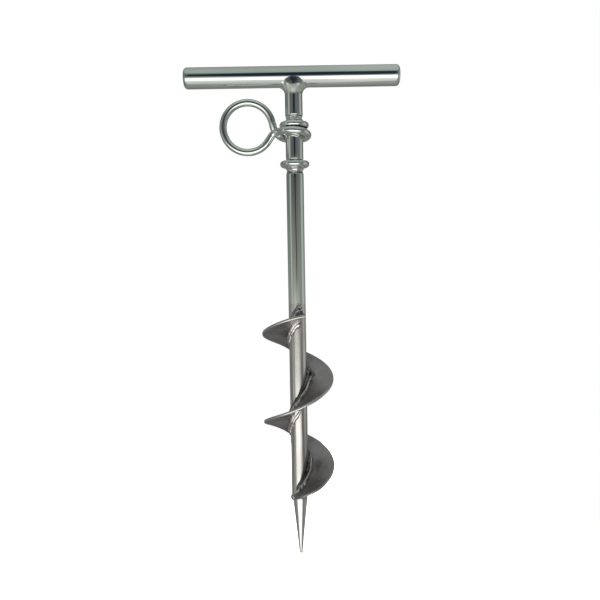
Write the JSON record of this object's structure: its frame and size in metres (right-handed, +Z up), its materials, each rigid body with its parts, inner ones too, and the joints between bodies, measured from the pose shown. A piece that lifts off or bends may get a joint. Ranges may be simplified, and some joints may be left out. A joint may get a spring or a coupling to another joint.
{
  "type": "screw-in ice and ground anchor",
  "caption": "T-handled screw-in anchor: round steel shank with turned point, welded helical auger flight, and a loose wire tie ring that swivels on the shank between welded stop rings.",
  "frame": {"origin": "tip of the point, on the shank's axis", "axes": "+Z up the shank towards the handle, +X along the handle, -Y towards the front"},
  "size_m": [0.1954, 0.0662, 0.4572],
  "materials": {
    "zinc_plate": "bright zinc plate, faintly green",
    "flight_steel": "satin dark grey sheet",
    "weld_metal": "rippled weld bead"
  },
  "bodies": {
    "anchor": {"handle_bar": "zinc_plate", "shank": "zinc_plate", "upper_stop_ring": "zinc_plate", "lower_stop_ring": "zinc_plate", "flight": "flight_steel", "handle_weld": "weld_metal", "upper_stop_weld": "weld_metal", "lower_stop_weld": "weld_metal", "root_weld_over_1": "weld_metal", "root_weld_over_2": "weld_metal", "root_weld_over_3": "weld_metal", "root_weld_over_4": "weld_metal", "root_weld_under_1": "weld_metal", "root_weld_under_2": "weld_metal", "root_weld_under_3": "weld_metal", "flight_end_weld": "weld_metal"},
    "tie_ring": {"tie_ring": "zinc_plate"}
  },
  "joints": [
    {"name": "tie_ring_swivel", "type": "hinge", "parent": "anchor", "child": "tie_ring", "pos_m": [0, 0, 0.3955], "axis": [0, 0, 1], "continuous": true}
  ]
}
